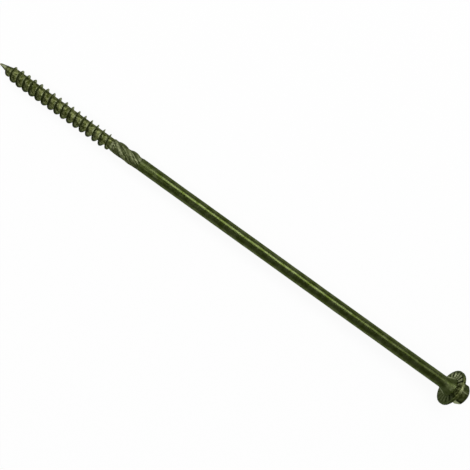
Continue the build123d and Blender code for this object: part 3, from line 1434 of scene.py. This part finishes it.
@dataclass(frozen=True)
class OliveCoating:
    """Glossy dark olive coating over steel: mottled, with scuffs and painted highlights in a light
    steel colour, and painted shade in a near-black tone.
    """

    # Colours
    deep: Colour = (0.040, 0.056, 0.0070, 1.0)
    light: Colour = (0.078, 0.097, 0.0320, 1.0)
    root_deep: Colour = (0.046, 0.058, 0.0060, 1.0)
    root_light: Colour = (0.215, 0.240, 0.0850, 1.0)
    # Light steel colour of scuffs, used also for painted highlights and painted reflections.
    bare_and_highlight: Colour = (0.350, 0.375, 0.220, 1.0)
    # Near-black colour of painted shade.
    dark_shade: Colour = (0.009, 0.013, 0.0015, 1.0)
    slant: Colour = (0.40, 0.45, 0.32, 1.0)
    # Gloss
    metal: float = 0.85
    refraction: float = 1.3
    coat: float = 0.1
    coat_rough: float = 0.3
    gloss: Span = (0.2, 0.36)
    more_dull: float = 0.26
    # Patterns, and how far each changes the coating
    mottle: Cloud = Cloud(420.0, 4.0)
    blotch: Cloud = Cloud(900.0, 3.0)
    grain: Cloud = Cloud(1500.0, 2.0)
    most_shade: float = 0.96
    mottle_span: Span = (0.36, 0.66)
    blotch_span: Span = (0.40, 0.62)
    grain_span: Span = (0.3, 0.7)
    scuff_and_highlight_blotches: Span = (0.30, 0.60)
    scuff_and_highlight_shares: Span = (0.35, 1.0)
    scuff_and_highlight_full: Span = (0.6, 1.0)
    swell_relief: Relief = Relief(0.05 * MM, 0.35)
    grain_relief: Relief = Relief(0.012 * MM, 0.25)

    def colour(self, desk: NodeDesk, mottle: Socket, blotch: Socket) -> Socket:
        """Deep and light olive by the mottle, other tones in the roots, steel colour for scuffs
        and painted highlights, near-black for painted shade.

        Args:
            desk: the node desk.
            mottle: the wide pattern.
            blotch: the narrower pattern.

        Returns:
            The colour.
        """
        plain = desk.mix(desk.span(mottle, self.mottle_span), self.deep, self.light)
        root = desk.mix(desk.span(blotch, self.blotch_span), self.root_deep, self.root_light)
        made = desk.mix(desk.mark(Mark.ROOT), plain, root)
        # Painted shade darkens the colour, then scuffs and painted highlights lighten it.
        dark_shade = desk.reckon(Sum.MULTIPLY, desk.mark(Mark.SHADE), self.most_shade)
        made = desk.mix(dark_shade, made, self.dark_shade)
        edge = desk.mark(Mark.EDGE)
        blotched_highlight = desk.span(blotch, self.scuff_and_highlight_blotches, self.scuff_and_highlight_shares)
        bare_share = desk.reckon(Sum.MULTIPLY, edge, blotched_highlight)
        bare_share = desk.reckon(Sum.MAXIMUM, bare_share, desk.span(edge, self.scuff_and_highlight_full))
        return desk.mix(bare_share, made, self.bare_and_highlight)

    def material(self) -> bpy.types.Material:
        """Build the material's nodes.

        The gloss is rough = low + (high - low) grain, and more where it is dull. The relief
        is a wide swell under a fine grain.

        Returns:
            The material.
        """
        made = bpy.data.materials.new("olive_coating")
        made.use_nodes = True
        desk = NodeDesk(made.node_tree)
        inputs = made.node_tree.nodes["Principled BSDF"].inputs
        desk.give(inputs["Metallic"], self.metal)
        desk.give(inputs["IOR"], self.refraction)
        desk.give(inputs["Specular Tint"], self.slant)
        desk.give(inputs["Coat Weight"], self.coat)
        desk.give(inputs["Coat Roughness"], self.coat_rough)
        mottle = desk.noise(self.mottle)
        blotch = desk.noise(self.blotch)
        grain = desk.noise(self.grain)
        desk.give(inputs["Base Color"], self.colour(desk, mottle, blotch))
        rough = desk.span(grain, self.grain_span, self.gloss)
        dull = desk.reckon(Sum.MULTIPLY, desk.mark(Mark.DULL), self.more_dull)
        desk.give(inputs["Roughness"], desk.reckon(Sum.ADD, rough, dull))
        swell = desk.bump(mottle, self.swell_relief)
        desk.give(inputs["Normal"], desk.bump(grain, self.grain_relief, swell))
        return made


@dataclass(frozen=True)
class Table:
    """Plain pale floor that keeps the soft shadow of the screw."""

    half_size: float = 3.0
    shade: float = 0.9
    lift: float = 0.93

    def build(self) -> bpy.types.Object:
        """A flat square at the height that the screw lies on.

        Returns:
            The table's object.
        """
        corners = np.array(((-1, -1, 0), (1, -1, 0), (1, 1, 0), (-1, 1, 0)), float)
        mesh = bpy.data.meshes.new("table")
        mesh.from_pydata(corners * self.half_size, [], [(0, 1, 2, 3)])
        made = bpy.data.objects.new("table", mesh)
        bpy.context.scene.collection.objects.link(made)
        made.data.materials.append(self.material())
        return made

    def material(self) -> bpy.types.Material:
        """Matt pale surface, lifted towards white for sight, gloss and glass alike.

        Returns:
            The material.
        """
        made = bpy.data.materials.new("table_paint")
        made.use_nodes = True
        desk = NodeDesk(made.node_tree)
        nodes = made.node_tree.nodes
        nodes.remove(nodes["Principled BSDF"])
        matt = nodes.new("ShaderNodeBsdfDiffuse")
        desk.give(matt.inputs["Color"], (self.shade, self.shade, self.shade, 1.0))
        white = nodes.new("ShaderNodeEmission")
        desk.give(white.inputs["Color"], WHITE)
        desk.give(white.inputs["Strength"], 1.0)
        rays = nodes.new("ShaderNodeLightPath").outputs
        seen = desk.reckon(Sum.MAXIMUM, rays["Is Camera Ray"], rays["Is Glossy Ray"])
        seen = desk.reckon(Sum.MAXIMUM, seen, rays["Is Transmission Ray"])
        blend = nodes.new("ShaderNodeMixShader")
        desk.give(blend.inputs["Fac"], desk.reckon(Sum.MULTIPLY, seen, self.lift))
        desk.give(blend.inputs[1], matt.outputs["BSDF"])
        desk.give(blend.inputs[2], white.outputs["Emission"])
        desk.give(nodes["Material Output"].inputs["Surface"], blend.outputs["Shader"])
        return made


@dataclass(frozen=True)
class Panel:
    """A rectangular lamp that faces the middle of the screw, with its long side along it.

    Attributes:
        name: name of the lamp.
        shift: its place along the screw in metres.
        angle: degrees from straight above, round the screw.
        size: its length and width in metres.
        power: its strength in watts.
        distance: how far it is from the screw's line in metres.
    """

    name: str
    shift: float
    angle: float
    size: Span
    power: float
    distance: float = 1.0

    def build(self) -> None:
        """Hang the lamp; its axes are its long side, its short side and its back."""
        data = bpy.data.lights.new(self.name, "AREA")
        data.shape = "RECTANGLE"
        data.size, data.size_y = self.size
        data.energy = self.power
        made = bpy.data.objects.new(self.name, data)
        bpy.context.scene.collection.objects.link(made)
        angle = math.radians(self.angle)
        over = Vector((0.0, -math.sin(angle), math.cos(angle))) * self.distance
        made.location = over + Vector((self.shift, 0.0, 0.0))
        back = made.location.normalized()
        side = Vector((1.0, 0.0, 0.0))
        side = (side - back * side.dot(back)).normalized()
        made.rotation_euler = Matrix((side, back.cross(side), back)).transposed().to_euler()


@dataclass(frozen=True)
class SoftRoom:
    """Soft panels above the screw, in a room that is pale low down and darker overhead."""

    panels: tuple[Panel, ...] = (
        Panel("key_panel", 0.05, 30.0, (0.78, 0.45), 5.9),
        Panel("tip_panel", 0.64, -22.0, (0.45, 0.35), 3.4),
        Panel("head_panel", -0.56, 30.0, (0.45, 0.45), 0.8),
    )
    ends: float = 1.0
    sides: float = 0.38
    high: float = 0.2
    ends_span: Span = (0.1, 0.7)
    low_span: Span = (0.25, 0.6)

    def build(self) -> None:
        """Hang the panels and shade the room."""
        for panel in self.panels:
            panel.build()
        self.world()

    def world(self) -> None:
        """World: pale walls low down, palest beyond both ends of the screw, darker overhead.

        With (x, y, z) the direction, the wall is sides + (ends - sides) s(x^2), and the
        strength is high + (wall - high) (1 - s(z)), where s is a smooth step.
        """
        world = bpy.data.worlds.new("room")
        bpy.context.scene.world = world
        world.use_nodes = True
        desk = NodeDesk(world.node_tree)
        nodes = world.node_tree.nodes
        place = nodes.new("ShaderNodeTexCoord")
        split = nodes.new("ShaderNodeSeparateXYZ")
        desk.give(split.inputs["Vector"], place.outputs["Generated"])
        along = desk.reckon(Sum.MULTIPLY, split.outputs["X"], split.outputs["X"])
        wall = desk.span(along, self.ends_span, (self.sides, self.ends))
        low = desk.span(split.outputs["Z"], self.low_span, (1.0, 0.0))
        rise = desk.reckon(Sum.SUBTRACT, wall, self.high)
        rise = desk.reckon(Sum.MULTIPLY, rise, low)
        inputs = nodes["Background"].inputs
        desk.give(inputs["Strength"], desk.reckon(Sum.ADD, rise, self.high))
        desk.give(inputs["Color"], WHITE)


@dataclass(frozen=True)
class CloseCamera:
    """Camera straight above the screw, close enough that both ends are seen slanted."""

    place: RestPlace
    focal_pixels: float = 505.0
    image_pixels: float = 470.0
    sensor: float = 36.0
    stand: float = 115.0 * MM
    roll: float = 35.7
    offset: tuple[float, float, float] = (-0.14 * MM, -1.0 * MM, 200.46 * MM)
    clip: Span = (0.01, 20.0)

    def build(self) -> bpy.types.Object:
        """Make the scene's camera.

        Its axes are the image's right, the image's up and the direction away from the
        screw, all square to each other, with the screw rolled in the image.

        Returns:
            The camera's object.
        """
        head, up = self.place.towards_head(), self.place.upwards()
        side = Vector((0.0, 1.0, 0.0))
        roll = math.radians(self.roll)
        right = head * math.cos(roll) - side * math.sin(roll)
        top = -head * math.sin(roll) - side * math.cos(roll)
        middle = self.place.tip + head * self.stand
        data = bpy.data.cameras.new("close_camera")
        data.sensor_width = self.sensor
        data.lens = self.sensor * self.focal_pixels / self.image_pixels
        data.clip_start, data.clip_end = self.clip
        made = bpy.data.objects.new("close_camera", data)
        bpy.context.scene.collection.objects.link(made)
        where = middle + right * self.offset[0] + top * self.offset[1] + up * self.offset[2]
        axes = Matrix((right, top, up)).transposed().to_4x4()
        made.matrix_world = Matrix.Translation(where) @ axes
        bpy.context.scene.camera = made
        return made


def main() -> None:
    """Build every piece in order, then the table, the light and the camera."""
    logging.basicConfig(level=logging.INFO, format="%(message)s")
    bpy.context.scene.view_settings.view_transform = "Standard"
    sizes = ScrewSizes()
    place = RestPlace(sizes)
    thread = Thread(sizes)
    body = ThreadedBody(place, thread, Flutes(sizes, thread), Slash(sizes))
    coating = OliveCoating().material()
    for part in (body, Head(place)):
        made = part.skin().piece(coating)
        log.info("%s: %d faces", made.name, len(made.data.polygons))
    Table().build()
    SoftRoom().build()
    CloseCamera(place).build()


if __name__ == "__main__":
    main()
